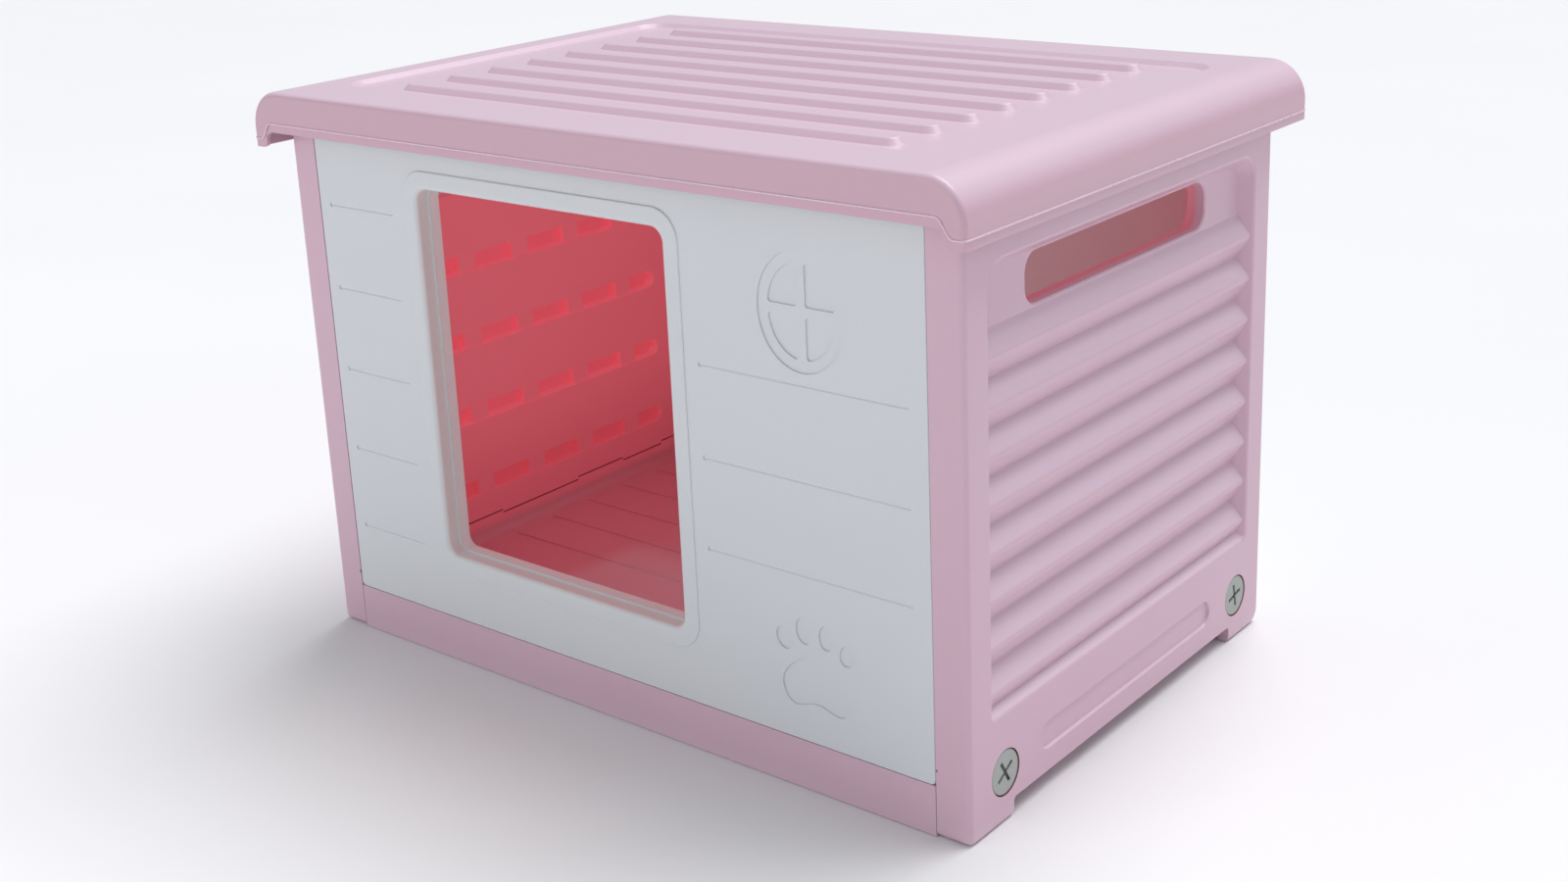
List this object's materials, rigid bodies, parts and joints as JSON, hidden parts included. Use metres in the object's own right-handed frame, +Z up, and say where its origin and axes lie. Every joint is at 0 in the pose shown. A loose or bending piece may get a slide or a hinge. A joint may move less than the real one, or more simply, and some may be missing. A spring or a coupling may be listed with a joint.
{
  "type": "plastic pet house",
  "caption": "Knock-down plastic pet house: open doorway, louvred side walls with carrying slots, ribbed lift-off lid, bolted floor tray",
  "frame": {"origin": "on the ground, at the middle of the house's footprint", "axes": "X along the front wall to the right as seen from the front, Y from front to back, Z up"},
  "size_m": [0.5, 0.347, 0.341],
  "materials": {
    "pink_plastic": "satin moulded polypropylene, pale pink",
    "white_plastic": "satin moulded polypropylene, cool white",
    "grey_plastic": "satin moulded nylon, grey-green"
  },
  "bodies": {
    "house": {"base_tray": "pink_plastic", "side_panel_left": "pink_plastic", "side_panel_right": "pink_plastic", "front_panel": "white_plastic", "back_panel": "white_plastic", "nut_front_left": "grey_plastic", "nut_back_left": "grey_plastic", "nut_front_right": "grey_plastic", "nut_back_right": "grey_plastic"},
    "lid": {"roof_lid": "pink_plastic"},
    "bolt_front_left_body": {"bolt_front_left": "grey_plastic"},
    "bolt_back_left_body": {"bolt_back_left": "grey_plastic"},
    "bolt_front_right_body": {"bolt_front_right": "grey_plastic"},
    "bolt_back_right_body": {"bolt_back_right": "grey_plastic"}
  },
  "joints": [
    {"name": "lid_lift", "type": "slide", "parent": "house", "child": "lid", "axis": [0, 0, 1], "range_m": [0, 0.12]},
    {"name": "bolt_front_left_turn", "type": "hinge", "parent": "house", "child": "bolt_front_left_body", "pos_m": [-0.2285, -0.1255, 0.0275], "axis": [-1, 0, 0], "range_deg": [0, 90]},
    {"name": "bolt_back_left_turn", "type": "hinge", "parent": "house", "child": "bolt_back_left_body", "pos_m": [-0.2285, 0.1255, 0.0275], "axis": [-1, 0, 0], "range_deg": [0, 90]},
    {"name": "bolt_front_right_turn", "type": "hinge", "parent": "house", "child": "bolt_front_right_body", "pos_m": [0.2285, -0.1255, 0.0275], "axis": [1, 0, 0], "range_deg": [0, 90]},
    {"name": "bolt_back_right_turn", "type": "hinge", "parent": "house", "child": "bolt_back_right_body", "pos_m": [0.2285, 0.1255, 0.0275], "axis": [1, 0, 0], "range_deg": [0, 90]}
  ]
}
